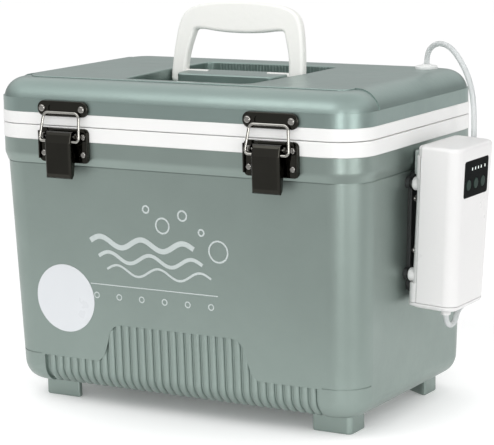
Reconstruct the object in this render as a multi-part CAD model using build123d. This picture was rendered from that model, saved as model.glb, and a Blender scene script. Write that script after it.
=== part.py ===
from build123d import *
import os
from math import sin, cos, tan, atan, radians, degrees, sqrt, pi

# ---------------------------------------------------------------------------
# Aerated live-bait cooler.  Millimetres.  Origin on the ground under the middle
# of the cooler box, +X towards the air pump, -Y towards the latches, +Z up.
# ---------------------------------------------------------------------------

# driving dimensions -------------------------------------------------------
W, D = 362.0, 232.0            # white rim bands, length and depth
R_BAND = 31.0                  # plan corner radius of the bands
Z_FLOOR = 16.0                 # underside of the body (feet hang below it)
Z_LEDGE = 214.3                # shallow ledge under the collar
Z_RIM = 235.2                  # underside of the lower white band
Z_PART = 247.8                 # top of the lower white band (parting plane)
Z_LIDBAND = 248.3              # underside of the upper white band
Z_LID = 258.7                  # top of the upper white band
Z_TOP = 287.5                  # flat top of the lid
DRAFT = 0.032                  # side wall draft, mm per mm
TAU = degrees(atan(DRAFT))     # the same as an angle
BODY_W, BODY_D, BODY_R = 355.6, 224.6, 28.0   # body outline at the ledge
FOOT_ROUND = 18.0              # rounding between the walls and the underside
WALL = 3.0                     # shell wall
TANK_W, TANK_D, TANK_R = 320.0, 190.0, 21.0   # tank mouth
TANK_FLOOR = 36.0
TANK_K = 0.0284                # tank wall draft

HINGE_Y, HINGE_Z = 119.9, 248.0
HINGE_X = 105.0

LATCH_X = 101.5                # latch centres at +-LATCH_X
LATCH_PIN = (-122.2, 240.3)    # lever pivot (y, z)
LEVER_W = 26.4
BAIL_PIN = (-124.6, 236.2)     # bail pivot in the lever (y, z)

HANDLE_Y, HANDLE_Z = 5.0, 283.8   # handle pivot
HANDLE_LEAN = 9.0                 # the carrying handle stands past upright

PUMP_Y, PUMP_Z = 2.5, 168.0           # where the bracket sits on the side wall
CASE_X, CASE_Z, CASE_TILT = 174.69, 169.5, 3.32   # frame of the pump's case
PUMP_BACK, PUMP_FRONT = 11.9, 51.0   # back and front of the case in that frame
BACK_K = 0.0146                      # the back draws away going up
PUMP_H = 68.5                        # half height

HOSE_D = 4.8
GROMMET = (147.0, 77.8)

os.makedirs("parts", exist_ok=True)
PARTS = {}


def put(name, shape):
    PARTS[name] = shape


def prism(w, d, r, z0, z1):
    return Pos(0, 0, z0) * extrude(RectangleRounded(w, d, r), z1 - z0)


def tapered(w, d, r, z_top, z_bot, k):
    """Rounded block, widest at z_top, walls drawn in by k going down."""
    face = Pos(0, 0, z_top) * RectangleRounded(w, d, r)
    return extrude(face, amount=z_top - z_bot, dir=(0, 0, -1), taper=degrees(atan(k)))


def drafted(w, d, r, z_top, z_bot, k):
    """The same with one corner radius all the way down."""
    face = Pos(0, 0, z_top) * Rectangle(w, d)
    block = extrude(face, amount=z_top - z_bot, dir=(0, 0, -1), taper=degrees(atan(k)))
    upright = [e for e in block.edges() if e.bounding_box().size.Z > 0.5 * (z_top - z_bot)]
    return fillet(upright, r)


def soften(solid, edges, radius):
    for r in (radius, radius * 0.7, radius * 0.4):
        try:
            out = fillet(edges, r)
            if out.volume > 0:
                return out
        except Exception:
            continue
    print("no fillet", radius)
    return solid


def at_z(solid, z, tol=0.05):
    return [e for e in solid.edges() if abs(e.bounding_box().min.Z - z) < tol and abs(e.bounding_box().max.Z - z) < tol]


def tube_between(p, q, r):
    v = Vector(*q) - Vector(*p)
    pl = Plane(origin=p, z_dir=v)
    return pl * Pos(0, 0, v.length / 2) * Cylinder(r, v.length)


def screw(head_r, head_h, shank_r, shank_l, slot=True):
    """Pan head screw, head outwards along -Y, seat at y = 0."""
    head = Pos(0, -head_h / 2, 0) * Rot(90, 0, 0) * Cylinder(head_r, head_h)
    head = soften(head, [e for e in head.edges() if e.geom_type == GeomType.CIRCLE and e.center().Y < -head_h * 0.8], head_h * 0.7)
    if slot:
        head -= Pos(0, -head_h, 0) * Box(head_r * 1.05, head_h * 0.9, 0.7)
        head -= Pos(0, -head_h, 0) * Box(0.7, head_h * 0.9, head_r * 1.05)
    shank = Pos(0, shank_l / 2, 0) * Rot(90, 0, 0) * Cylinder(shank_r, shank_l)
    return head + shank


def group(items):
    return Compound(children=[s for s in items])


# ---------------------------------------------------------------------------
# cooler body
# ---------------------------------------------------------------------------
def body_block(inset):
    """The body's outer form, or the same form drawn in by inset all round."""
    b = drafted(BODY_W - 2 * inset, BODY_D - 2 * inset, BODY_R - inset, Z_LEDGE + 0.4, Z_FLOOR + inset, DRAFT)
    return fillet(at_z(b, Z_FLOOR + inset), FOOT_ROUND - inset)


outer = body_block(0.0)
collar_low = tapered(361.0, 231.0, 30.5, Z_LEDGE + 6.9, Z_LEDGE, 2.5 / 6.9)
collar = prism(361.0, 231.0, 30.5, Z_LEDGE + 6.9, Z_RIM)
shell_solid = outer + collar_low + collar
shell_solid = soften(shell_solid, at_z(shell_solid, Z_LEDGE + 6.9), 9.0)
ledge_line = prism(BODY_W + 3, BODY_D + 3, BODY_R + 1.5, Z_LEDGE - 0.7, Z_LEDGE + 0.3) - prism(BODY_W - 1.4, BODY_D - 1.4, BODY_R - 0.7, Z_LEDGE - 0.9, Z_LEDGE + 0.5)
shell_solid = shell_solid - ledge_line

# front face plane of the drafted wall, local x along +X, local y up the wall
FRONT_Y0 = -(BODY_D / 2 - DRAFT * (Z_LEDGE + 0.4 - Z_FLOOR))     # y at z = Z_FLOOR


def front_plane(depth):
    """Plane parallel to the drafted front wall, depth below its surface; local y = height above Z_FLOOR."""
    c, s = cos(radians(TAU)), sin(radians(TAU))
    return Plane(origin=(0, FRONT_Y0 + depth, Z_FLOOR), x_dir=(1, 0, 0), z_dir=(0, -c, -s))


PANEL = [(-137, 27.6), (-79.5, 27.6), (-73.5, 33), (-69.5, 44), (-66.5, 54.5), (-62, 59.8), (-55, 61.8),
         (55, 61.8), (62, 59.8), (66.5, 54.5), (69.5, 44), (73.5, 33), (79.5, 27.6), (137, 27.6), (137, -6), (-137, -6)]
PANEL_DEPTH = 2.6


panel_sk = make_face(Polyline(*[(x, y) for x, y in PANEL], close=True))
panel_zone = front_plane(21.5) * extrude(panel_sk, 34)
cut = panel_zone - body_block(PANEL_DEPTH)
shell_solid = shell_solid - cut

# upright ribs in the panel; each runs down the wall, round the lower edge and a little way underneath
RIB_PITCH, RIB_R = 7.9, 3.6
RIB_DEPTH = PANEL_DEPTH + 1.25                     # rib axis below the outer surface
ca, sa = cos(radians(TAU)), sin(radians(TAU))
arc_z = Z_FLOOR + FOOT_ROUND
arc_y = FRONT_Y0 - DRAFT * FOOT_ROUND + FOOT_ROUND / ca
rr = FOOT_ROUND - RIB_DEPTH
p1 = (0, arc_y - rr * ca, arc_z - rr * sa)
mid_a = radians(TAU + (90 - TAU) / 2)
pm = (0, arc_y - rr * cos(mid_a), arc_z - rr * sin(mid_a))
p2 = (0, arc_y, arc_z - rr)
p0 = (0, p1[1] - 60 * sa, p1[2] + 60 * ca)
p3 = (0, arc_y + 9, arc_z - rr)
rib_path = Line(p0, p1) + ThreePointArc(p1, pm, p2) + Line(p2, p3)
one_rib = sweep(Plane(origin=p0, z_dir=(0, sa, -ca)) * Circle(RIB_R), path=rib_path)
ribs = []
for i in range(34):
    x = -130.35 + RIB_PITCH * i
    ribs.append((Pos(x, 0, 0) * one_rib) & panel_zone)
shell_solid = shell_solid.fuse(*ribs)

# fine line that carries the panel's upper border round the front corners
gw = BODY_W - 2 * DRAFT * (Z_LEDGE - 44.0)
gd = BODY_D - 2 * DRAFT * (Z_LEDGE - 44.0)
line = prism(gw + 4, gd + 4, 26, 43.3, 44.3) - prism(gw - 1.3, gd - 1.3, BODY_R - 0.65, 43.0, 44.6)
line = line & (Pos(140 + 25, -112, 44) * Box(50, 60, 4))
shell_solid = shell_solid - line - mirror(line, Plane.YZ)

cavity = drafted(350.2, 219.2, 25.3, Z_RIM, Z_FLOOR + WALL, DRAFT)
cavity = fillet(at_z(cavity, Z_FLOOR + WALL), FOOT_ROUND - WALL)
pad = Pos(0, -95, 47) * Box(282, 40, 80) - body_block(PANEL_DEPTH + 2.7)
cavity = cavity - pad
body_shell = shell_solid - cavity

# inner tank with the lower white band
tank_out = tapered(TANK_W + 6 + 2 * TANK_K * 12.4 * 0, TANK_D + 6, TANK_R + 3, Z_RIM + 0.01, TANK_FLOOR - 3, TANK_K)
tank_out = soften(tank_out, at_z(tank_out, TANK_FLOOR - 3), 11.0)
flange = prism(W, D, R_BAND, Z_RIM, Z_PART)
flange = soften(flange, at_z(flange, Z_PART) + at_z(flange, Z_RIM), 0.9)
tank_in = tapered(TANK_W, TANK_D, TANK_R, Z_PART, TANK_FLOOR, TANK_K)
tank_in = soften(tank_in, at_z(tank_in, TANK_FLOOR), 9.0)
liner_solid = flange + tank_out
body_liner = liner_solid - tank_in
body_foam = cavity - liner_solid

# four feet, pressed into the underside: each follows its corner and is cut back on the inside
FOOT_X, FOOT_Y, FOOT_W, FOOT_D = 154.3, 83.5, 36.5, 25.0
feet = []
for sx in (-1, 1):
    for sy in (-1, 1):
        f_sk = Polyline((FOOT_X, FOOT_Y), (FOOT_X - FOOT_W, FOOT_Y), (FOOT_X - FOOT_W, FOOT_Y - 5.0), (FOOT_X - 4.0, FOOT_Y - FOOT_D), (FOOT_X, FOOT_Y - FOOT_D), close=True)
        f = extrude(make_face(f_sk), Z_FLOOR)
        f = fillet([e for e in f.edges().filter_by(Axis.Z) if abs(e.center().X - FOOT_X) < 0.1 and abs(e.center().Y - FOOT_Y) < 0.1], 5.0)
        f = soften(f, f.edges().filter_by(Axis.Z), 1.8)
        f = soften(f, at_z(f, 0.0), 1.6)
        if sx < 0:
            f = mirror(f, Plane.YZ)
        if sy < 0:
            f = mirror(f, Plane.XZ)
        feet.append(f)

# ---------------------------------------------------------------------------
# lid
# ---------------------------------------------------------------------------
lid_low = prism(361.0, 231.2, 30.6, Z_LID, Z_LID + 12.0)
lid_core = prism(359.4, 229.6, 29.7, Z_LID, Z_TOP - 1.2)
lid_core = soften(lid_core, at_z(lid_core, Z_TOP - 1.2), 19.0)
end_sk = Plane.XZ * (Rectangle(360.3, 2 * (Z_TOP - Z_LID)))
saddle = extrude(Plane.XZ * Pos(0, Z_LID) * Rectangle(360.3, 2 * (Z_TOP - Z_LID)), 92.0, both=True)
saddle = soften(saddle, [e for e in saddle.edges().filter_by(Axis.Y) if e.center().Z > Z_TOP - 0.1], 20.0)
plan = prism(316.0, 184.0, 13.0, Z_LID, Z_TOP + 1) + prism(364.0, 156.0, 1.0, Z_LID, Z_TOP + 1)
saddle = saddle & plan
saddle = soften(saddle, [e for e in saddle.edges() if e.bounding_box().min.Z > Z_TOP - 0.05 and abs(abs(e.center().Y) - 90) < 4], 0.9)
lid_solid = lid_low + lid_core + saddle

REC_FLOOR = 272.8
REC = [(-61.5, -84), (61.5, -84), (67.6, 2), (67.6, 66), (-67.6, 66), (-67.6, 2)]


def recess(off, z0, z1, r):
    sk = make_face(Polyline(*REC, close=True))
    sk = fillet(sk.vertices(), 9.0)
    if off:
        sk = offset(sk, off)
    return Pos(0, 0, z0) * extrude(sk, z1 - z0)


rec_cut = recess(0, REC_FLOOR, Z_TOP + 5, 9)
lid_in = prism(354.6, 225.0, 27.3, Z_LID, Z_TOP - 3.9)
lid_in = soften(lid_in, at_z(lid_in, Z_TOP - 3.9), 16.0)
lid_in = lid_in - recess(2.4, REC_FLOOR - 2.5, Z_TOP + 5, 9)

# bridge between the handle's legs, with open snap slots for its two pins
ISLAND_W = 51.0
ISLAND_TOP, ISLAND_Y0, ISLAND_Y1 = 286.4, -20.5, 16.0
# (its ends draw in towards the front, clear of the legs when the handle lies folded)
ISLAND_F = 47.6
bridge_sk = Polyline((-ISLAND_W, ISLAND_Y1), (ISLAND_W, ISLAND_Y1), (ISLAND_W, -5), (ISLAND_F, ISLAND_Y0), (-ISLAND_F, ISLAND_Y0), (-ISLAND_W, -5), close=True)
bridge = Pos(0, 0, REC_FLOOR - 1) * extrude(make_face(bridge_sk), ISLAND_TOP - REC_FLOOR + 1)
bridge = soften(bridge, [e for e in bridge.edges().filter_by(Axis.Z) if e.center().Y < ISLAND_Y0 + 1], 6.0)
bridge = soften(bridge, [e for e in bridge.edges().filter_by(Axis.Z) if e.center().Y > ISLAND_Y1 - 1], 4.0)
bridge = soften(bridge, at_z(bridge, ISLAND_TOP), 1.8)
PIN_R = 3.4
slot_cut = []
for s in (-1, 1):
    slot_cut.append(Pos(s * (ISLAND_W - 10.5), HANDLE_Y, HANDLE_Z) * Rot(0, 90, 0) * Cylinder(PIN_R + 0.1, 22.6))
for c in slot_cut:
    bridge = bridge - c

# fine upright ribs on the rear wall of the recess
rear_ribs = []
for i in range(35):
    x = -54.4 + 3.2 * i
    rear_ribs.append(Pos(x, 66.35, (REC_FLOOR - 0.5 + Z_TOP - 1.3) / 2) * Cylinder(1.0, Z_TOP - 1.3 - REC_FLOOR + 0.5))
rear_rib_set = rear_ribs[0].fuse(*rear_ribs[1:])

lid_shell = lid_solid - rec_cut
top_rim = [e for e in lid_shell.edges() if abs(e.center().Z - Z_TOP) < 0.02 and abs(e.center().X) < 69 and -85 < e.center().Y < 67]
lid_shell = soften(lid_shell, top_rim, 1.6)
lid_shell = lid_shell + rear_rib_set
lid_shell = lid_shell - lid_in
lid_shell = lid_shell + bridge

lid_flange = prism(W, D, R_BAND, Z_LIDBAND, Z_LID)
lid_flange = soften(lid_flange, at_z(lid_flange, Z_LIDBAND) + at_z(lid_flange, Z_LID), 0.9)
plug = prism(311.0, 181.0, 17.0, 241.0, Z_LIDBAND + 0.1)
plug = soften(plug, at_z(plug, 241.0), 2.0)
pocket = prism(305.0, 175.0, 14.0, 244.0, Z_LID)
gasket_out, gasket_in = prism(338.0, 208.0, 27.0, 247.95, 251.0), prism(329.0, 199.0, 22.5, 247.9, 251.1)
lid_gasket = gasket_out - gasket_in
lid_liner = lid_flange + plug - pocket - lid_gasket
lid_foam = lid_in + pocket

# hose grommet and the air fitting through the lid
gx, gy = GROMMET
gro = Pos(gx, gy, Z_TOP + 1.4) * Cylinder(9.6, 2.8)
gro = soften(gro, [e for e in gro.edges() if e.center().Z > Z_TOP + 2.7], 1.3)
gro = gro + Pos(gx, gy, Z_TOP - 8) * Cylinder(6.0, 16.0) + Pos(gx, gy, Z_TOP + 3.2) * Cone(5.0, 3.9, 1.6)
hose_grommet = gro - Pos(gx, gy, Z_TOP - 1) * Cylinder(2.75, 34.0) - Pos(gx, gy, Z_TOP + 3.4) * Cone(2.75, 3.5, 1.8)
fit = Pos(gx, gy, 255.9) * Cylinder(3.6, 30.6) + Pos(gx, gy, 239.2) * Cylinder(8.0, 3.5)
fit = fit + Pos(gx, gy, 236.0) * Cylinder(4.0, 5.0) + Pos(gx, gy, 277.6) * Cylinder(2.7, 14.0)
fit = fit - Pos(gx, gy, 233.0) * Cylinder(2.5, 6.0)
lid_air_fitting = fit - Pos(gx, gy, 252.0) * Cylinder(1.1, 60)
for nm in ("lid_shell", "lid_foam", "lid_liner"):
    s = globals()[nm]
    s = s - Pos(gx, gy, Z_TOP - 8) * Cylinder(6.0, 16.0) - Pos(gx, gy, 257.0) * Cylinder(3.6, 33.0)
    globals()[nm] = s

# ---------------------------------------------------------------------------
# carrying handle: two legs, a thick grip and two inward pins, one moulding
# ---------------------------------------------------------------------------
HT = 9.5                           # thickness
side_out = [(66.4, -8.4), (66.3, 2.0), (65.6, 14.0), (64.3, 27.0), (62.8, 37.0), (60.4, 46.6), (56.4, 53.4), (50.2, 57.8),
            (41.6, 60.7), (28.0, 62.7), (14.0, 63.7), (0.0, 64.0)]
side_in = [(51.9, -8.4), (51.9, 4.0), (51.1, 15.0), (49.2, 24.2), (47.2, 31.2), (45.6, 36.2)]
under_in = [(41.4, 39.1), (35.0, 38.9), (26.0, 37.8), (13.0, 36.8), (0.0, 36.5)]
outer_line = Spline(*[(-x, z) for x, z in side_out], *[(x, z) for x, z in reversed(side_out[:-1])])
left_in = Spline(*[(-x, z) for x, z in side_in])
right_in = Spline(*[(x, z) for x, z in reversed(side_in)])
under = Spline(*[(-x, z) for x, z in under_in], *[(x, z) for x, z in reversed(under_in[:-1])])
corner_l = ThreePointArc((-45.6, 36.2), (-44.2, 38.4), (-41.4, 39.1))
corner_r = ThreePointArc((41.4, 39.1), (44.2, 38.4), (45.6, 36.2))
hsk = make_face([outer_line, Line((66.4, -8.4), (51.9, -8.4)), right_in, corner_r, under, corner_l, left_in, Line((-51.9, -8.4), (-66.4, -8.4))])


def near(vs, pts, tol=0.6):
    return [v for v in vs if any(abs(v.X - p[0]) < tol and abs(v.Y - p[1]) < tol for p in pts)]


hsk = fillet(near(hsk.vertices(), [(s * 66.4, -8.4) for s in (-1, 1)] + [(s * 51.9, -8.4) for s in (-1, 1)]), 4.0)
handle = extrude(Plane.XZ * hsk, HT / 2, both=True)
handle = soften(handle, [e for e in handle.edges() if abs(abs(e.center().Y) - HT / 2) < 0.01], 2.9)
for s in (-1, 1):
    handle = handle + Pos(s * (ISLAND_W + 2 - 11.5), 0, 0) * Rot(0, 90, 0) * Cylinder(PIN_R, 23.0)
handle = Pos(0, HANDLE_Y, HANDLE_Z) * Rot(-HANDLE_LEAN, 0, 0) * handle

# ---------------------------------------------------------------------------
# latches: keeper on the lid, base on the body, lever and wire bail
# ---------------------------------------------------------------------------
FACE_Y = -D / 2 - 0.1


def ring_plate(w, h, t, r):
    return extrude(Plane.XZ * RectangleRounded(w, h, r), t)       # grows towards -Y from y = 0


latch = {}
for side, lx in (("left", -LATCH_X), ("right", LATCH_X)):
    # keeper: dished plate with rounded ends and a rolled lower edge
    kp = ring_plate(51.6, 13.4, 2.6, 6.4)
    kp = soften(kp, [e for e in kp.edges() if e.center().Y < -2.55], 1.1)
    kp = Pos(lx, FACE_Y, 263.2) * kp
    groove = Pos(lx, FACE_Y - 2.6, 263.2) * extrude(Plane.XZ * RectangleRounded(28.0, 7.4, 3.0), 0.8, both=True)
    kp = kp - groove
    ks = [Pos(lx + s * 20.2, FACE_Y - 2.6, 263.4) * screw(3.1, 2.0, 1.7, 11.0, False) for s in (-1, 1)]
    # base plate with four screws and two ears that carry the lever pin
    bp_ = ring_plate(51.2, 29.6, 1.6, 4.5)
    bp_ = soften(bp_, [e for e in bp_.edges() if e.center().Y < -1.55], 0.7)
    bp_ = Pos(lx, FACE_Y, 232.0) * bp_
    for s in (-1, 1):
        rim = Pos(lx + s * 24.6, FACE_Y - 2.3, 232.0) * Box(1.4, 3.0, 24.0)
        bp_ = bp_ + soften(rim, rim.edges().filter_by(Axis.Z), 0.5)
        ear_sk = Polyline((-117.2, 226), (-118.6, 226), (-122.4, 236.8), (-124.6, 239.2), (-124.9, 240.6), (-123.9, 242.6),
                          (-122.0, 243.2), (-120.0, 243.6), (-117.2, 244.6), close=True)
        ear = extrude(make_face(Plane.YZ * ear_sk), 0.7, both=True)
        bp_ = bp_ + Pos(lx + s * 16.2, 0, 0) * ear
    back = Pos(lx, FACE_Y - 2.2, 245.8) * Box(29.0, 1.6, 1.7)
    bp_ = bp_ + back
    bs = [Pos(lx + sx * 20.3, FACE_Y - 1.6, z) * screw(2.7, 1.7, 1.6, 11.0, False) for sx in (-1, 1) for z in (224.8, 239.7)]
    py, pz = LATCH_PIN
    pin = Pos(lx, py, pz) * Rot(0, 90, 0) * Cylinder(1.2, 34.6)
    bp_ = bp_ - Pos(lx, py, pz) * Rot(0, 90, 0) * Cylinder(1.2, 60)
    for s in bs:
        bp_ = bp_ - s
    for s in ks:
        kp = kp - s
    # lever: folded channel; hub round the pin, then a paddle that stands off the wall
    by, bz = BAIL_PIN
    prof = [(-118.3, 239.2), (-118.6, 242.2), (-120.2, 243.9), (-122.6, 244.5), (-124.8, 243.7), (-126.2, 241.8), (-128.2, 235.2),
            (-128.1, 231.0), (-127.4, 208.5), (-126.6, 205.4), (-125.2, 204.4), (-122.6, 207.5), (-121.2, 216.0),
            (-120.0, 226.0), (-118.6, 234.0)]
    sk = make_face(Plane.YZ * Polyline(*prof, close=True))
    lever = extrude(sk, LEVER_W / 2, both=True)
    rolled = [e for e in lever.edges() if abs(abs(e.center().X) - LEVER_W / 2) < 0.01 and e.center().Y < -125.9
              and e.center().Z < 243 and e.length > 4]
    lever = soften(lever, rolled, 2.4)
    inner = [(-117.8, 241.0), (-119.3, 241.6), (-120.8, 242.7), (-122.5, 243.2), (-123.9, 242.6), (-124.9, 241.2), (-126.9, 234.9),
             (-126.8, 231.0), (-126.1, 208.8), (-125.5, 206.4), (-124.6, 203.0), (-121.0, 202.0), (-117.0, 220.0)]
    hol = extrude(make_face(Plane.YZ * Polyline(*inner, close=True)), LEVER_W / 2 - 1.3, both=True)
    lever = Pos(lx, 0, 0) * (lever - hol)
    lever = lever - Pos(lx, py, pz) * Rot(0, 90, 0) * Cylinder(1.3, 60)
    lever = lever - Pos(lx, by, bz) * Rot(0, 90, 0) * Cylinder(1.27, 60)
    # wire bail: inward feet through the cheeks, legs and a top bar across the keeper
    WR = 1.2
    hw_top, hw = 17.8, 20.4
    top_z, top_y = 260.2, FACE_Y - 2.6 - 0.3 - WR
    pts = [(lx - 10.8, by, bz), (lx - hw, by, bz), (lx - hw_top, top_y, top_z), (lx + hw_top, top_y, top_z), (lx + hw, by, bz), (lx + 10.8, by, bz)]
    path = FilletPolyline(*pts, radius=[3.2, 4.6, 4.6, 3.2])
    prof_c = Plane(origin=pts[0], z_dir=(-1, 0, 0)) * Circle(WR)
    bail = sweep(prof_c, path=path)
    latch[side] = dict(keeper=kp, ks=ks, base=bp_, bs=bs, pin=pin, lever=lever, bail=bail)

# ---------------------------------------------------------------------------
# rear hinges
# ---------------------------------------------------------------------------
hinge = {}
YB = D / 2 + 0.1
for side, hx in (("left", -HINGE_X), ("right", HINGE_X)):
    bl = Pos(hx, YB + 1.0, 233.5) * Box(40, 2.0, 21.0)
    for s in (-1, 1):
        bl = bl + Pos(hx + s * 14.0, YB + 1.0, 246.0) * Box(12.0, 2.0, 6.0)
        bl = bl + Pos(hx + s * 14.0, HINGE_Y, HINGE_Z) * Rot(0, 90, 0) * Cylinder(3.2, 12.0)
    bl = bl - Pos(hx, HINGE_Y, HINGE_Z) * Rot(0, 90, 0) * Cylinder(1.5, 60)
    ll = Pos(hx, YB + 1.0, 262.5) * Box(40, 2.0, 21.0)
    ll = ll + Pos(hx, YB + 1.0, 250.5) * Box(15.2, 2.0, 5.0)
    ll = ll + Pos(hx, HINGE_Y, HINGE_Z) * Rot(0, 90, 0) * Cylinder(3.2, 15.2)
    ll = ll - Pos(hx, HINGE_Y, HINGE_Z) * Rot(0, 90, 0) * Cylinder(1.58, 60)
    hp = Pos(hx, HINGE_Y, HINGE_Z) * Rot(0, 90, 0) * Cylinder(1.5, 41.0)
    bsc = [Pos(hx + s * 12.0, YB + 2.0, 230.0) * Rot(0, 0, 180) * screw(3.2, 1.7, 1.6, 11.0) for s in (-1, 1)]
    lsc = [Pos(hx + s * 12.0, YB + 2.0, 266.0) * Rot(0, 0, 180) * screw(3.2, 1.7, 1.6, 11.0) for s in (-1, 1)]
    for s in bsc:
        bl = bl - s
    for s in lsc:
        ll = ll - s
    hinge[side] = dict(body=bl, lid=ll, pin=hp, bs=bsc, ls=lsc)

# ---------------------------------------------------------------------------
# air pump, built in its own frame: x out of the wall, z up the wall
# ---------------------------------------------------------------------------
WALL_X = BODY_W / 2 - DRAFT * (Z_LEDGE + 0.4 - PUMP_Z)
BRACKET = Pos(WALL_X, PUMP_Y, PUMP_Z) * Rot(0, TAU, 0)
PUMP = Pos(CASE_X, PUMP_Y, CASE_Z) * Rot(0, CASE_TILT, 0)
CAP_Z = -PUMP_H + 4.6
CASE_W0, CASE_W1 = 64.6, 74.2        # width at the bottom and at the top


def case_sect(z, inset, back=0.0):
    w = CASE_W0 + (CASE_W1 - CASE_W0) * (z + PUMP_H) / (2 * PUMP_H) - 2 * inset
    x0, x1 = PUMP_BACK + BACK_K * z + inset - back, PUMP_FRONT - inset
    sk = make_face(Polyline((x0, -w / 2), (x1, -w / 2), (x1, w / 2), (x0, w / 2), close=True))
    sk = fillet([v for v in sk.vertices() if v.X > x1 - 1], 11.0 - 0.8 * inset)
    sk = fillet([v for v in sk.vertices() if v.X < x0 + 1], 6.0 - 0.8 * inset)
    return Pos(0, 0, z) * sk


def case_block(inset, z0, z1, back=0.0):
    return loft([case_sect(z0, inset, back), case_sect(z1, inset, back)])


full = case_block(0.0, -PUMP_H, PUMP_H)
full = soften(full, at_z(full, PUMP_H), 3.0)
full = soften(full, at_z(full, -PUMP_H), 4.0)
# a thicker foot behind the bottom and a shallow pad behind the top
foot_pad = case_block(0.0, -PUMP_H + 1.5, -47.5, 2.6) & (Pos(0, 0, -58) * Box(60, 90, 60))
foot_pad = soften(foot_pad, at_z(foot_pad, -47.5) + at_z(foot_pad, -PUMP_H + 1.5), 1.2)
head_pad = case_block(0.0, 41.0, 60.0, 1.4)
head_pad = soften(head_pad, at_z(head_pad, 41.0) + at_z(head_pad, 60.0), 0.8)
full = full + foot_pad + head_pad
hollow = case_block(2.2, -PUMP_H + 7.0, PUMP_H - 2.4)
cap = full & (Pos(30, 0, -PUMP_H) * Box(80, 90, 2 * (CAP_Z + PUMP_H) - 0.9))
cap = cap + case_block(2.5, -PUMP_H + 3.0, -PUMP_H + 7.0)
upper = full & (Pos(30, 0, CAP_Z + 100) * Box(80, 90, 200))
upper = upper - hollow - case_block(2.2, CAP_Z - 1, -PUMP_H + 7.5)
SEAM_X = PUMP_BACK + 4.4
back_half = upper & (Pos(SEAM_X - 50, 0, 0) * Box(100, 90, 200))
front_half = upper & (Pos(SEAM_X + 0.8 + 50, 0, 0) * Box(100, 90, 200))
seal_ring = upper & (Pos(SEAM_X + 0.4, 0, 0) * Box(0.8, 90, 200))
seal_core = case_block(0.6, -PUMP_H, PUMP_H - 0.6)
seal_ring = seal_ring & seal_core
case_posts = []
case_screws = []
for sy in (-1, 1):
    for z in (-56.0, 58.0):
        p = (sy * 23.2, z)
        post = Pos((SEAM_X + 0.8 + PUMP_FRONT - 2.0) / 2, p[0], p[1]) * Rot(0, 90, 0) * Cylinder(3.4, PUMP_FRONT - 2.0 - SEAM_X - 0.8)
        case_posts.append(post)
        case_screws.append(Pos(PUMP_BACK + 0.9, p[0], p[1]) * Rot(0, 0, -90) * screw(2.8, 1.4, 1.3, 16.0))
        back_half = back_half - Pos(PUMP_BACK + 0.9 - 10, p[0], p[1]) * Rot(0, 90, 0) * Cylinder(3.1, 20.0)
for p in case_posts:
    front_half = front_half + p
for s in case_screws:
    front_half = front_half - s
    back_half = back_half - s

# control window, buttons and lights
PAN_Y, PAN_Z = -1.0, 41.9
lens = Pos(PUMP_FRONT - 0.55, PAN_Y, PAN_Z) * extrude(Plane.YZ * RectangleRounded(47.3, 30.7, 2.6), 0.6, both=True)
front_half = front_half - lens
front_half = front_half - Pos(PUMP_FRONT - 1.5, PAN_Y, PAN_Z) * Box(3.4, 43.3, 26.0)
lens_back = Pos(PUMP_FRONT - 1.55, PAN_Y, PAN_Z) * extrude(Plane.YZ * RectangleRounded(43.1, 25.8, 1.5), 0.5, both=True)
lens = lens + lens_back
BTN_Y = [PAN_Y - 14.0, PAN_Y + 0.3, PAN_Y + 14.1]
BTN_Z = PAN_Z - 5.0
buttons = []
for y in BTN_Y:
    lens = lens - Pos(PUMP_FRONT - 1, y, BTN_Z) * Rot(0, 90, 0) * Cylinder(4.9, 8)
    b = Pos(PUMP_FRONT - 1.35, y, BTN_Z) * Rot(0, 90, 0) * Cylinder(4.5, 3.1)
    b = soften(b, [e for e in b.edges() if e.geom_type == GeomType.CIRCLE and e.center().X > PUMP_FRONT], 0.4)
    buttons.append(b)
leds = []
for dy in (-8.3, -2.3, 3.4, 9.0, 16.6):
    led = Pos(PUMP_FRONT - 1.0, PAN_Y + dy, PAN_Z + 7.8) * Box(2.3, 1.3, 2.4)
    leds.append(led)
    lens = lens - led
board = Pos(PUMP_FRONT - 6.6, PAN_Y, 30.0) * Box(1.6, 46, 44)
board = board + Pos(PUMP_FRONT - 8.4, -12, 24.0) * Box(2.0, 8, 8) + Pos(PUMP_FRONT - 8.2, 12, 24.0) * Box(1.6, 10, 6)
switches = [Pos(PUMP_FRONT - 4.75, y, BTN_Z) * Box(2.0, 6, 6) for y in BTN_Y]
for s in switches:
    board = board + s
cells = [Pos(28.0, s * 10.2, 31.0) * Cylinder(9.2, 65.0) + Pos(28.0, s * 10.2, 64.2) * Cylinder(3.0, 2.0) for s in (-1, 1)]
motor = Pos(31.0, -9.0, -20.9) * Cylinder(12.0, 30.0) + Pos(31.0, -9.0, -4.6) * Cylinder(4.0, 3.0)
head = Pos(31.0, -9.0, -43.4) * Box(25.0, 25.0, 14.4)
head = soften(head, head.edges().filter_by(Axis.Z), 3.0)
head = head + Pos(31.0, 9.0, -43.4) * Rot(90, 0, 0) * Cylinder(4.0, 12.0)
NOZ = (35.3, -12.0)
nozzle = Pos(NOZ[0], NOZ[1], -62.9) * Cylinder(3.4, 24.6) + Pos(NOZ[0], NOZ[1], -73.6) * Cylinder(4.0, 2.4)
nozzle = nozzle - Pos(NOZ[0], NOZ[1], -70.0) * Cylinder(1.0, 60.0) - Pos(NOZ[0], NOZ[1], -73.9) * Cylinder(2.5, 6.2)
cap = cap - Pos(NOZ[0], NOZ[1], -64.0) * Cylinder(3.4, 30.0)
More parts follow.
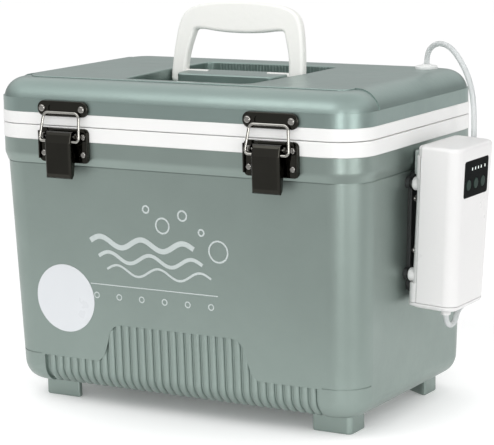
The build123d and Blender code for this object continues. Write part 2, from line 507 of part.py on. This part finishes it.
# socket plug for charging, low on the hidden side
plug_c = Pos(36.0, 12.0, -PUMP_H - 0.2) * Box(8.0, 13.0, 1.6)
plug_c = soften(plug_c, plug_c.edges().filter_by(Axis.Z), 2.0)
plug_c = plug_c + Pos(36.0, 12.0, -PUMP_H + 2.0) * Box(5.0, 9.0, 4.0)
cap = cap - Pos(36.0, 12.0, -PUMP_H + 1.8) * Box(5.0, 9.0, 4.6) - plug_c

# wall bracket, clip and four round stand-offs, in the bracket's own frame on the wall
CASE_CUT = BRACKET.inverse() * (PUMP * full)
plate = Pos(1.95, 0, -6.5) * Box(3.5, 49.0, 101.0)
plate = soften(plate, plate.edges().filter_by(Axis.X), 6.0)
plate = soften(plate, [e for e in plate.edges() if e.center().X > 3.6], 1.0)
rail = Pos(8.9, 0, -5.0) * Box(10.6, 24.0, 66.0) - CASE_CUT
plate = plate + rail
SO_Y, SO_R = 26.5, 5.8
standoffs = []
for y in (-SO_Y, SO_Y):
    for z, x0 in ((36.4, 6.2), (-40.4, 4.3)):
        so = Pos((x0 + 12.6) / 2, y, z) * Rot(0, 90, 0) * Cylinder(SO_R, 12.6 - x0)
        so = soften(so, [e for e in so.edges() if e.geom_type == GeomType.CIRCLE and e.center().X < x0 + 0.1], 2.2)
        standoffs.append(so - CASE_CUT)
        ear = Pos(1.95, y, z) * Rot(0, 90, 0) * Cylinder(5.0, 3.5) + Pos((3.6 + x0) / 2, y, z) * Rot(0, 90, 0) * Cylinder(3.3, x0 - 3.6)
        plate = plate + ear
clip = Pos(4.9, 0, 52.6) * Box(2.4, 40.0, 20.0) + Pos(10.0, 0, 60.6) * Box(12.0, 40.0, 4.0)
clip = soften(clip, [e for e in clip.edges().filter_by(Axis.X)], 1.2) - CASE_CUT
bracket_screws = [Pos(3.7, y, z) * Rot(0, 0, 90) * screw(3.4, 1.7, 1.6, 11.0) for y in (-17.5, 17.5) for z in (22.0, -22.0)]
for s in bracket_screws:
    plate = plate - s

# ---------------------------------------------------------------------------
# air line
# ---------------------------------------------------------------------------


def route(pts):
    radii = []
    for a, b, c in zip(pts[:-2], pts[1:-1], pts[2:]):
        u, v = Vector(*b) - Vector(*a), Vector(*c) - Vector(*b)
        turn = u.get_angle(v)
        radii.append(0.45 * min(u.length, v.length) / tan(radians(turn / 2)))
    return radii


def hose(name, pts, d):
    radii = route(pts)
    path = FilletPolyline(*pts, radius=radii)
    start = Plane(origin=pts[0], z_dir=Vector(*pts[1]) - Vector(*pts[0]))
    solid = sweep(start * Circle(d / 2), path=path)
    print(name, "length", round(path.length, 1), "least radius", round(min(radii), 1),
          "volume ratio", round(solid.volume / (pi * d * d / 4 * path.length), 4))
    return solid


nz = PUMP * Pos(NOZ[0], NOZ[1], -70.8)
nzp = nz.position
OUTER_HOSE = [(nzp.X, nzp.Y, nzp.Z), (nzp.X - 0.55, nzp.Y, nzp.Z - 9.5), (205.8, -2.1, 81.1), (206.1, 7.3, 82.8), (206.1, 11.6, 90.2),
              (205.9, 20.8, 93.7), (205.8, 31.5, 94.2), (206.2, 41.6, 99.4), (206.6, 44.6, 111.5), (206.4, 44.0, 130.0),
              (206.0, 43.9, 156.0), (206.8, 44.2, 186.0), (206.4, 44.0, 218.0), (207.4, 43.8, 245.0), (206.6, 43.9, 267.0),
              (201.5, 46.2, 284.5), (191.0, 52.2, 298.5), (178.5, 59.2, 309.0),
              (163.5, 67.8, 311.5), (151.2, 75.0, 305.6), (147.0, 77.8, 295.5), (147.0, 77.8, 284.6)]
INNER_HOSE = [(147.0, 77.8, 236.0), (147.0, 77.8, 211.0), (146.2, 75.9, 174.0), (146.9, 75.0, 136.0), (145.4, 73.6, 102.0),
              (142.0, 71.9, 76.0), (132.5, 70.4, 57.0), (116.0, 69.4, 46.2), (92.0, 70.6, 41.8), (65.0, 70.4, 41.8), (42.0, 70.2, 44.2),
              (24.0, 71.4, 44.2)]
air_hose_outer = hose("outer hose", OUTER_HOSE, HOSE_D)
air_hose_inner = hose("inner hose", INNER_HOSE, HOSE_D)
e0, e1 = Vector(*INNER_HOSE[-2]), Vector(*INNER_HOSE[-1])
stone_dir = Vector(e1.X - e0.X, e1.Y - e0.Y, 0).normalized()
stone_pl = Plane(origin=e1, z_dir=stone_dir)
air_stone = stone_pl * Pos(0, 0, 3.5) * Cylinder(2.4, 7.0) + stone_pl * Pos(0, 0, 6 + 15.0) * Cylinder(7.6, 30.0)
air_stone = soften(air_stone, [e for e in air_stone.edges() if e.geom_type == GeomType.CIRCLE and abs(e.radius - 7.6) < 0.05], 2.0)

# round sticker, low on the left of the front wall
STICKER = (-111.0, 96.2)
sticker = front_plane(0.0) * Pos(STICKER[0], (STICKER[1] - Z_FLOOR) / cos(radians(TAU)), 0.2) * Cylinder(30.0, 0.3)

# ---------------------------------------------------------------------------
# holes for the screws that go into walls
# ---------------------------------------------------------------------------
for side in ("left", "right"):
    L, H = latch[side], hinge[side]
    for s in L["bs"] + H["bs"]:
        body_shell = body_shell - s
        body_foam = body_foam - s
        body_liner = body_liner - s
    for s in L["ks"] + H["ls"]:
        lid_shell = lid_shell - s
        lid_foam = lid_foam - s
        lid_liner = lid_liner - s
for s in bracket_screws:
    g = BRACKET * s
    body_shell = body_shell - g
    body_foam = body_foam - g

# ---------------------------------------------------------------------------
# nodes
# ---------------------------------------------------------------------------
put("body_shell", body_shell)
put("body_foam", body_foam)
put("body_liner", body_liner)
put("feet", group(feet))
put("front_sticker", sticker)
put("lid_shell", lid_shell)
put("lid_foam", lid_foam)
put("lid_liner", lid_liner)
put("lid_gasket", lid_gasket)
put("hose_grommet", hose_grommet)
put("lid_air_fitting", lid_air_fitting)
put("carry_handle", handle)
for side in ("left", "right"):
    L, H = latch[side], hinge[side]
    put("latch_keeper_" + side, L["keeper"])
    put("latch_keeper_screws_" + side, group(L["ks"]))
    put("latch_base_" + side, L["base"])
    put("latch_base_screws_" + side, group(L["bs"]))
    put("latch_pin_" + side, L["pin"])
    put("latch_lever_" + side, L["lever"])
    put("latch_bail_" + side, L["bail"])
    put("hinge_body_leaf_" + side, H["body"])
    put("hinge_lid_leaf_" + side, H["lid"])
    put("hinge_pin_" + side, H["pin"])
put("hinge_body_screws", group(hinge["left"]["bs"] + hinge["right"]["bs"]))
put("hinge_lid_screws", group(hinge["left"]["ls"] + hinge["right"]["ls"]))
put("pump_bracket", BRACKET * plate)
put("pump_bracket_screws", group([BRACKET * s for s in bracket_screws]))
put("pump_bracket_clip", BRACKET * clip)
put("pump_standoffs", group([BRACKET * s for s in standoffs]))
put("pump_back_cover", PUMP * back_half)
put("pump_front_cover", PUMP * front_half)
put("pump_case_seal", PUMP * seal_ring)
put("pump_bottom_cap", PUMP * cap)
put("pump_case_screws", group([PUMP * s for s in case_screws]))
put("control_panel_lens", PUMP * lens)
put("button_power", PUMP * buttons[0])
put("button_flow", PUMP * buttons[1])
put("button_light", PUMP * buttons[2])
put("indicator_lights", group([PUMP * s for s in leds]))
put("control_board", PUMP * board)
put("battery_cells", group([PUMP * s for s in cells]))
put("pump_motor", PUMP * motor)
put("pump_head", PUMP * head)
put("air_outlet_nozzle", PUMP * nozzle)
put("charge_port_plug", PUMP * plug_c)
put("air_hose_outer", air_hose_outer)
put("air_hose_inner", air_hose_inner)
put("air_stone", air_stone)

for name, shape in PARTS.items():
    export_step(shape, "parts/" + name + ".step")
print(len(PARTS), "nodes")
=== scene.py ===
import bpy
import bmesh
import math
import random
from mathutils import Vector, Matrix


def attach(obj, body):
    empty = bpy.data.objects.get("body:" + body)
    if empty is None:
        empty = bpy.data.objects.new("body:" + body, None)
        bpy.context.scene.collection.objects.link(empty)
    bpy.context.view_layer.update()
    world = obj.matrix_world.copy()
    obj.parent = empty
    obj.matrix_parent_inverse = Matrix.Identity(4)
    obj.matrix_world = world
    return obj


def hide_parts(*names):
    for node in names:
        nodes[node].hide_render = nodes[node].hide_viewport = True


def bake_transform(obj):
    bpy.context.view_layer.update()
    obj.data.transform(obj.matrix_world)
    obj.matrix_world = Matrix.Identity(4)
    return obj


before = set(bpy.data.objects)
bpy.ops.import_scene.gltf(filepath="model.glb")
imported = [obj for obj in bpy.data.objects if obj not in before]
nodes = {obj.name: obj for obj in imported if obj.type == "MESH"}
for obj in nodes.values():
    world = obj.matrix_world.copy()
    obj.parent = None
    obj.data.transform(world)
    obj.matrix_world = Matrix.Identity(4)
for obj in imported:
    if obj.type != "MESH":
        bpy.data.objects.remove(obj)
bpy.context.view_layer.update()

scene = bpy.context.scene
MM = 0.001

# ---------------------------------------------------------------------------
# camera
# ---------------------------------------------------------------------------
FX = 2065.883
fwd = Vector((-0.499684, 0.848198, -0.175718)).normalized()
right = fwd.cross(Vector((0, 0, 1))).normalized()
up = right.cross(fwd)
roll = math.radians(-1.047)
r2 = math.cos(roll) * right + math.sin(roll) * up
u2 = -math.sin(roll) * right + math.cos(roll) * up
cam_data = bpy.data.cameras.new("camera")
cam = bpy.data.objects.new("camera", cam_data)
scene.collection.objects.link(cam)
rot = Matrix((r2, u2, -fwd)).transposed().to_4x4()
cam.matrix_world = Matrix.Translation(Vector((916.556, -1544.475, 473.923)) * MM) @ rot
cam_data.sensor_fit = "HORIZONTAL"
cam_data.sensor_width = 36.0
cam_data.lens = FX * 36.0 / 494.0
cam_data.shift_x = (247.0 - 244.532) / 494.0
cam_data.shift_y = 0.0
cam_data.clip_start, cam_data.clip_end = 0.05, 60.0
scene.camera = cam


# ---------------------------------------------------------------------------
# materials
# ---------------------------------------------------------------------------
def new_material(name):
    m = bpy.data.materials.new(name)
    m.use_nodes = True
    nt = m.node_tree
    nt.nodes.clear()
    out = nt.nodes.new("ShaderNodeOutputMaterial")
    bsdf = nt.nodes.new("ShaderNodeBsdfPrincipled")
    nt.links.new(bsdf.outputs[0], out.inputs[0])
    return m, nt, bsdf


def coords(nt, scale=(1, 1, 1)):
    tc = nt.nodes.new("ShaderNodeTexCoord")
    mp = nt.nodes.new("ShaderNodeMapping")
    mp.inputs["Scale"].default_value = scale
    nt.links.new(tc.outputs["Object"], mp.inputs[0])
    return mp.outputs[0]


def noise(nt, vec, scale, detail=3.0, rough=0.5):
    n = nt.nodes.new("ShaderNodeTexNoise")
    n.inputs["Scale"].default_value = scale
    n.inputs["Detail"].default_value = detail
    n.inputs["Roughness"].default_value = rough
    nt.links.new(vec, n.inputs["Vector"])
    return n.outputs[0]


def ramp(nt, fac, stops):
    r = nt.nodes.new("ShaderNodeValToRGB")
    el = r.color_ramp.elements
    while len(el) < len(stops):
        el.new(0.5)
    for e, (p, c) in zip(el, stops):
        e.position = p
        e.color = (*c, 1) if len(c) == 3 else c
    nt.links.new(fac, r.inputs[0])
    return r.outputs[0]


def grey(v):
    return (v, v, v)


def bump(nt, bsdf, height, strength, distance):
    b = nt.nodes.new("ShaderNodeBump")
    b.inputs["Strength"].default_value = strength
    b.inputs["Distance"].default_value = distance
    nt.links.new(height, b.inputs["Height"])
    nt.links.new(b.outputs[0], bsdf.inputs["Normal"])
    return b


def plastic(name, colour, rough=0.35, vary=0.04, metallic=0.0, coat=0.0, coat_rough=0.1, specular=0.5, orange=0.0006, orange_scale=220, ior=1.5, sheen=0.0):
    """Moulded plastic: faint cloudy colour, uneven gloss and orange-peel bump."""
    m, nt, b = new_material(name)
    v = coords(nt)
    cloud = noise(nt, v, 9.0, 4.0, 0.55)
    lo = tuple(max(0.0, c * (1 - vary)) for c in colour)
    hi = tuple(min(1.0, c * (1 + vary)) for c in colour)
    nt.links.new(ramp(nt, cloud, [(0.3, lo), (0.7, hi)]), b.inputs["Base Color"])
    rg = noise(nt, v, 38.0, 3.0, 0.6)
    nt.links.new(ramp(nt, rg, [(0.3, grey(rough * 0.9)), (0.7, grey(min(1, rough * 1.12)))]), b.inputs["Roughness"])
    b.inputs["Metallic"].default_value = metallic
    b.inputs["Coat Weight"].default_value = coat
    b.inputs["Coat Roughness"].default_value = coat_rough
    b.inputs["IOR"].default_value = ior
    b.inputs["Specular IOR Level"].default_value = specular
    if sheen:
        b.inputs["Sheen Weight"].default_value = sheen
    bump(nt, b, noise(nt, v, orange_scale, 2.0, 0.5), 0.25, orange)
    return m


def metal(name, colour, rough=0.12, brushed=(1, 1, 1), vary=0.1):
    m, nt, b = new_material(name)
    v = coords(nt, brushed)
    n = noise(nt, v, 60.0, 4.0, 0.6)
    lo = tuple(c * (1 - vary) for c in colour)
    nt.links.new(ramp(nt, n, [(0.3, lo), (0.7, colour)]), b.inputs["Base Color"])
    nt.links.new(ramp(nt, n, [(0.25, grey(rough * 0.75)), (0.75, grey(rough * 1.3))]), b.inputs["Roughness"])
    b.inputs["Metallic"].default_value = 1.0
    bump(nt, b, n, 0.12, 0.0002)
    return m


M = {}
M["green"] = plastic("pearl_green", (0.262, 0.318, 0.294), rough=0.40, vary=0.03, metallic=0.85, coat=0.12, coat_rough=0.25, orange=0.0004)
M["green_lid"] = plastic("pearl_green_lid", (0.258, 0.328, 0.308), rough=0.38, vary=0.03, metallic=0.85, coat=0.12, coat_rough=0.22, orange=0.0004)
M["band"] = plastic("band_white", (0.76, 0.76, 0.75), rough=0.36, vary=0.012, coat=0.1)
M["liner"] = plastic("liner_white", (0.80, 0.80, 0.78), rough=0.38, vary=0.015)
M["handle"] = plastic("handle_white", (0.79, 0.79, 0.76), rough=0.36, vary=0.015)
M["pump"] = plastic("pump_white", (0.72, 0.715, 0.71), rough=0.30, vary=0.01, coat=0.1, coat_rough=0.2)
M["foam"] = plastic("foam", (0.80, 0.74, 0.52), rough=0.9, vary=0.06, orange=0.002, orange_scale=500)
# Latch plates, keepers, levers and hinge leaves: chrome with a near-black base colour. The colour is painted shade for
# the dark surroundings the chrome reflects; bails and screws use the brighter metals below.
M["nickel"] = metal("dark_nickel", (0.036, 0.035, 0.030), rough=0.08)
M["wire"] = metal("bright_wire", (0.42, 0.41, 0.38), rough=0.10)
M["screw"] = metal("bright_screw", (0.34, 0.33, 0.31), rough=0.13)
M["panel"] = plastic("panel_black", (0.004, 0.005, 0.005), rough=0.5, vary=0.1, specular=0.02, orange=0.0001)
M["button"] = plastic("button_dark", (0.008, 0.026, 0.019), rough=0.40, vary=0.1, specular=0.1)
M["black"] = plastic("bracket_black", (0.02, 0.021, 0.021), rough=0.45, vary=0.1)
M["clip"] = plastic("clip_grey", (0.42, 0.47, 0.45), rough=0.45, vary=0.03)
M["board"] = plastic("board_green", (0.02, 0.12, 0.05), rough=0.4, vary=0.2)
M["cell"] = plastic("cell_wrap", (0.05, 0.16, 0.42), rough=0.3, vary=0.05)
M["motor"] = metal("motor_steel", (0.5, 0.5, 0.5), rough=0.3, brushed=(1, 1, 30))
M["seal"] = plastic("seal_grey", (0.50, 0.51, 0.50), rough=0.7, vary=0.05)
M["gasket"] = plastic("gasket_grey", (0.30, 0.31, 0.31), rough=0.75, vary=0.06)
M["plug"] = plastic("plug_grey", (0.22, 0.23, 0.23), rough=0.6, vary=0.06)
M["stone"] = plastic("air_stone", (0.13, 0.24, 0.34), rough=0.95, vary=0.25, orange=0.004, orange_scale=900)
M["sticker"] = plastic("label_white", (0.60, 0.62, 0.64), rough=0.30, vary=0.01, coat=0.3, orange=0.0001)
M["grommet"] = plastic("grommet_white", (0.74, 0.75, 0.74), rough=0.42, vary=0.02)

m, nt, b = new_material("led_white")
v = coords(nt)
nt.links.new(ramp(nt, noise(nt, v, 400.0), [(0.3, (0.75, 0.8, 0.78)), (0.7, (0.9, 0.95, 0.92))]), b.inputs["Base Color"])
b.inputs["Emission Color"].default_value = (0.85, 0.95, 0.9, 1)
b.inputs["Emission Strength"].default_value = 0.35
b.inputs["Roughness"].default_value = 0.3
M["led"] = m

m, nt, b = new_material("hose_vinyl")
v = coords(nt)
nt.links.new(ramp(nt, noise(nt, v, 30.0, 3.0), [(0.3, (0.66, 0.69, 0.69)), (0.7, (0.76, 0.78, 0.78))]), b.inputs["Base Color"])
b.inputs["Roughness"].default_value = 0.22
b.inputs["Transmission Weight"].default_value = 0.35
b.inputs["IOR"].default_value = 1.42
b.inputs["Coat Weight"].default_value = 0.2
bump(nt, b, noise(nt, v, 120.0), 0.1, 0.0003)
M["hose"] = m

ASSIGN = {
    "body_shell": "green", "feet": "green", "lid_shell": "green_lid", "body_foam": "foam", "lid_foam": "foam",
    "body_liner": "band", "lid_liner": "band", "lid_gasket": "gasket", "hose_grommet": "grommet", "lid_air_fitting": "band",
    "carry_handle": "handle", "front_sticker": "sticker",
    "hinge_body_screws": "screw", "hinge_lid_screws": "screw", "pump_bracket": "black", "pump_bracket_screws": "screw",
    "pump_bracket_clip": "clip", "pump_standoffs": "pump", "pump_back_cover": "pump", "pump_front_cover": "pump",
    "pump_case_seal": "seal", "pump_bottom_cap": "pump", "pump_case_screws": "screw", "control_panel_lens": "panel",
    "button_power": "button", "button_flow": "button", "button_light": "button", "indicator_lights": "led",
    "control_board": "board", "battery_cells": "cell", "pump_motor": "motor", "pump_head": "plug", "air_outlet_nozzle": "pump",
    "charge_port_plug": "plug", "air_stone": "stone"}
for s in ("left", "right"):
    for n in ("latch_keeper_", "latch_base_", "latch_lever_", "hinge_body_leaf_", "hinge_lid_leaf_"):
        # latch and hinge plates take the metal that has painted shade in its base colour
        ASSIGN[n + s] = "nickel"
    ASSIGN["latch_bail_" + s] = "wire"
    for n in ("latch_keeper_screws_", "latch_base_screws_", "latch_pin_", "hinge_pin_"):
        ASSIGN[n + s] = "screw"
for n, k in ASSIGN.items():
    o = nodes[n]
    o.data.materials.clear()
    o.data.materials.append(M[k])

# ---------------------------------------------------------------------------
# air hoses: one smooth line each, through the same points as the tubes
# ---------------------------------------------------------------------------
OUTER = [(205.829, -9.5, 96.774), (205.279, -9.5, 87.274), (205.8, -2.1, 81.1), (206.1, 7.3, 82.8), (206.1, 11.6, 90.2),
         (205.9, 20.8, 93.7), (205.8, 31.5, 94.2), (206.2, 41.6, 99.4), (206.6, 44.6, 111.5), (206.4, 44.0, 130.0),
         (206.0, 43.9, 156.0), (206.8, 44.2, 186.0), (206.4, 44.0, 218.0), (207.4, 43.8, 245.0), (206.6, 43.9, 267.0),
         (201.5, 46.2, 284.5), (191.0, 52.2, 298.5), (178.5, 59.2, 309.0),
         (163.5, 67.8, 311.5), (151.2, 75.0, 305.6), (147.0, 77.8, 295.5), (147.0, 77.8, 284.6)]
INNER = [(147.0, 77.8, 236.0), (147.0, 77.8, 211.0), (146.2, 75.9, 174.0), (146.9, 75.0, 136.0), (145.4, 73.6, 102.0),
         (142.0, 71.9, 76.0), (132.5, 70.4, 57.0), (116.0, 69.4, 46.2), (92.0, 70.6, 41.8), (65.0, 70.4, 41.8), (42.0, 70.2, 44.2),
         (24.0, 71.4, 44.2)]
HOSE_D = 4.8 * MM


def nurbs_line(name, pts, res=10):
    cd = bpy.data.curves.new(name + "_line", "CURVE")
    cd.dimensions = "3D"
    sp = cd.splines.new("NURBS")
    sp.points.add(len(pts) - 1)
    for p, q in zip(sp.points, pts):
        p.co = (*[c * MM for c in q], 1)
    sp.order_u = 3
    sp.use_endpoint_u = True
    sp.resolution_u = res
    cd.resolution_u = res
    ob = bpy.data.objects.new(name + "_line", cd)
    scene.collection.objects.link(ob)
    bpy.context.view_layer.update()
    me = bpy.data.meshes.new_from_object(ob.evaluated_get(bpy.context.evaluated_depsgraph_get()))
    line = [v.co.copy() for v in me.vertices]
    bpy.data.meshes.remove(me)
    bpy.data.objects.remove(ob)
    bpy.data.curves.remove(cd)
    out = [line[0]]
    for p in line[1:]:
        if (p - out[-1]).length > 1e-5:
            out.append(p)
    return out


def tube(name, line, radius, sides=20, bore=0.0):
    """Round tube along a line of points, with a turned frame that never flips."""
    bm = bmesh.new()
    tangents = []
    for i in range(len(line)):
        a, b_ = line[max(0, i - 1)], line[min(len(line) - 1, i + 1)]
        tangents.append((b_ - a).normalized())
    ref = tangents[0].orthogonal().normalized()
    rings = []
    for i, p in enumerate(line):
        if i:
            q = tangents[i - 1].rotation_difference(tangents[i])
            ref = (q @ ref).normalized()
        side = tangents[i].cross(ref)
        rings.append([bm.verts.new(p + radius * (math.cos(2 * math.pi * k / sides) * ref + math.sin(2 * math.pi * k / sides) * side)) for k in range(sides)])
    for a, b_ in zip(rings[:-1], rings[1:]):
        for k in range(sides):
            f = bm.faces.new((a[k], a[(k + 1) % sides], b_[(k + 1) % sides], b_[k]))
            f.smooth = True
    bm.faces.new(list(reversed(rings[0])))
    bm.faces.new(rings[-1])
    bm.normal_update()
    me = bpy.data.meshes.new(name)
    bm.to_mesh(me)
    bm.free()
    ob = bpy.data.objects.new(name, me)
    scene.collection.objects.link(ob)
    return ob


def line_length(line):
    return sum((b_ - a).length for a, b_ in zip(line[:-1], line[1:]))


outer_line = nurbs_line("air_hose_outer", OUTER)
inner_line = nurbs_line("air_hose_inner", INNER)
hose_out = tube("hose_outside", outer_line, HOSE_D / 2)
hose_in = tube("hose_inside", inner_line, HOSE_D / 2)
for ob in (hose_out, hose_in):
    ob.data.materials.append(M["hose"])
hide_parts("air_hose_outer")
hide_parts("air_hose_inner")
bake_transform(hose_out)
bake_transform(hose_in)
print("hose lines", round(line_length(outer_line), 4), round(line_length(inner_line), 4))

# ---------------------------------------------------------------------------
# plain printed pattern on the front wall: wave lines and bubble rings
# ---------------------------------------------------------------------------
FRONT_TOP_Y, DRAFT, WALL_TOP_Z = -112.3, 0.032, 214.7


def front_y(z):
    return FRONT_TOP_Y + DRAFT * (WALL_TOP_Z - z) - 0.12


def print_strip(bm, centre, half_width):
    rows = []
    for i, (x, z) in enumerate(centre):
        a, b_ = centre[max(0, i - 1)], centre[min(len(centre) - 1, i + 1)]
        t = Vector((b_[0] - a[0], b_[1] - a[1])).normalized()
        n = Vector((-t.y, t.x)) * half_width
        rows.append([bm.verts.new(((x + k * n.x) * MM, front_y(z + k * n.y) * MM, (z + k * n.y) * MM)) for k in (-1, 1)])
    for a, b_ in zip(rows[:-1], rows[1:]):
        bm.faces.new((a[0], b_[0], b_[1], a[1]))


def ring(x, z, r):
    return [(x + r * math.cos(2 * math.pi * k / 40), z + r * math.sin(2 * math.pi * k / 40)) for k in range(41)]


bm = bmesh.new()
for z0, x0, x1, hw in ((150.0, -82.0, 22.0, 2.3), (137.0, -74.0, 30.0, 1.6), (126.0, -66.0, 38.0, 1.0)):
    n = 90
    print_strip(bm, [(x0 + (x1 - x0) * i / n, z0 + 4.2 * math.sin(2 * math.pi * 2.5 * i / n)) for i in range(n + 1)], hw)
for x, z, r in ((-8.0, 168.0, 6.5), (12.0, 178.0, 4.2), (-24.0, 181.0, 3.0), (30.0, 165.0, 2.6), (46.0, 150.0, 9.0)):
    print_strip(bm, ring(x, z, r), 0.75)
print_strip(bm, [(-84.0, 112.0), (44.0, 112.0)], 0.45)
for k in range(6):
    print_strip(bm, ring(-78.0 + 23.0 * k, 102.0, 2.4), 0.5)
bmesh.ops.recalc_face_normals(bm, faces=bm.faces)
me = bpy.data.meshes.new("front_pattern")
bm.to_mesh(me)
bm.free()
pattern = bpy.data.objects.new("front_pattern", me)
scene.collection.objects.link(pattern)
M["print"] = plastic("print_pale", (0.46, 0.51, 0.50), rough=0.45, vary=0.05, orange=0.0001)
pattern.data.materials.append(M["print"])
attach(pattern, "cooler_body")

# ---------------------------------------------------------------------------
# studio: pale floor and backdrop, soft lights
# ---------------------------------------------------------------------------
def floor_sheet():
    """Pale sheet under the object that runs on behind it; its material (below) adds painted light as a glow, so the
    sheet is not lit by lamps alone.
    """
    bm = bmesh.new()
    az = math.radians(30.5)
    ex, ey = Vector((math.cos(az), math.sin(az), 0)), Vector((-math.sin(az), math.cos(az), 0))
    rows = [[bm.verts.new(ex * x + ey * y) for x in (-9.0, -3.0, 0.0, 3.0, 9.0)] for y in (-7.0, -1.0, 0.0, 1.0, 3.0, 9.0)]
    for a, b_ in zip(rows[:-1], rows[1:]):
        for k in range(4):
            bm.faces.new((a[k], a[k + 1], b_[k + 1], b_[k]))
    me = bpy.data.meshes.new("studio_sheet")
    bm.to_mesh(me)
    bm.free()
    ob = bpy.data.objects.new("studio_sheet", me)
    scene.collection.objects.link(ob)
    return ob


sheet = floor_sheet()
m, nt, b = new_material("studio_paper")
b.inputs["Roughness"].default_value = 0.9
b.inputs["Specular IOR Level"].default_value = 0.0
b.inputs["Emission Color"].default_value = (1, 1, 1, 1)
tc = nt.nodes.new("ShaderNodeTexCoord")
ahead = nt.nodes.new("ShaderNodeVectorMath")
ahead.operation = "DOT_PRODUCT"
ahead.inputs[1].default_value = (0.5075, -0.8616, 0.0)
nt.links.new(tc.outputs["Object"], ahead.inputs[0])
# Base colour: pale near the object, darker grey from about 0.4 m towards the camera. This is painted shade on the
# floor, put there for the front walls to reflect.
nt.links.new(ramp(nt, ahead.outputs["Value"], [(0.22, grey(0.88)), (0.40, grey(0.42)), (1.0, grey(0.56))]), b.inputs["Base Color"])
dist = nt.nodes.new("ShaderNodeVectorMath")
dist.operation = "LENGTH"
nt.links.new(tc.outputs["Object"], dist.inputs[0])
# Emission is painted light on the floor. The glow is weak under the object, strongest about 0.22 m from the centre, and
# low again further out.
nt.links.new(ramp(nt, dist.outputs["Value"], [(0.10, grey(0.10)), (0.22, grey(0.26)), (0.34, grey(0.12)), (1.0, grey(0.10))]), b.inputs["Emission Strength"])
sheet.data.materials.append(m)


def area(name, loc, target, size, power, colour=(1, 1, 1)):
    ld = bpy.data.lights.new(name, "AREA")
    ld.shape = "RECTANGLE"
    ld.size, ld.size_y = size
    ld.energy = power
    ld.color = colour
    ob = bpy.data.objects.new(name, ld)
    scene.collection.objects.link(ob)
    ob.location = loc
    ob.rotation_mode = "QUATERNION"
    ob.rotation_quaternion = (Vector(target) - Vector(loc)).to_track_quat("-Z", "Y")
    return ob


world = bpy.data.worlds.new("studio")
scene.world = world
world.use_nodes = True
wt = world.node_tree
bg = wt.nodes["Background"]
wtc = wt.nodes.new("ShaderNodeTexCoord")
wsep = wt.nodes.new("ShaderNodeSeparateXYZ")
wt.links.new(wtc.outputs["Generated"], wsep.inputs[0])
wmap = wt.nodes.new("ShaderNodeMapRange")
wmap.inputs["From Min"].default_value = -1.0
wmap.inputs["From Max"].default_value = 1.0
wt.links.new(wsep.outputs["Z"], wmap.inputs["Value"])
wt.links.new(ramp(wt, wmap.outputs[0], [(0.0, grey(0.10)), (0.42, grey(0.15)), (0.50, grey(0.36)), (0.58, grey(0.34)), (0.68, grey(0.84)), (0.85, grey(1.25)), (1.0, grey(1.0))]), bg.inputs[0])
bg.inputs[1].default_value = 1.0

area("box_high_left", (-0.30, -1.0, 1.15), (0.12, -0.1, 0.28), (0.9, 0.7), 3.2)
area("box_by_camera", (0.86, -2.05, 0.0), (0.12, -0.05, 0.14), (0.42, 1.9), 24)
area("box_right", (1.80, -0.95, 0.15), (0.15, -0.05, 0.14), (0.8, 1.5), 16)

scene.view_settings.view_transform = "Standard"
scene.view_settings.look = "None"
scene.view_settings.exposure = 0.0
scene.view_settings.gamma = 1.0
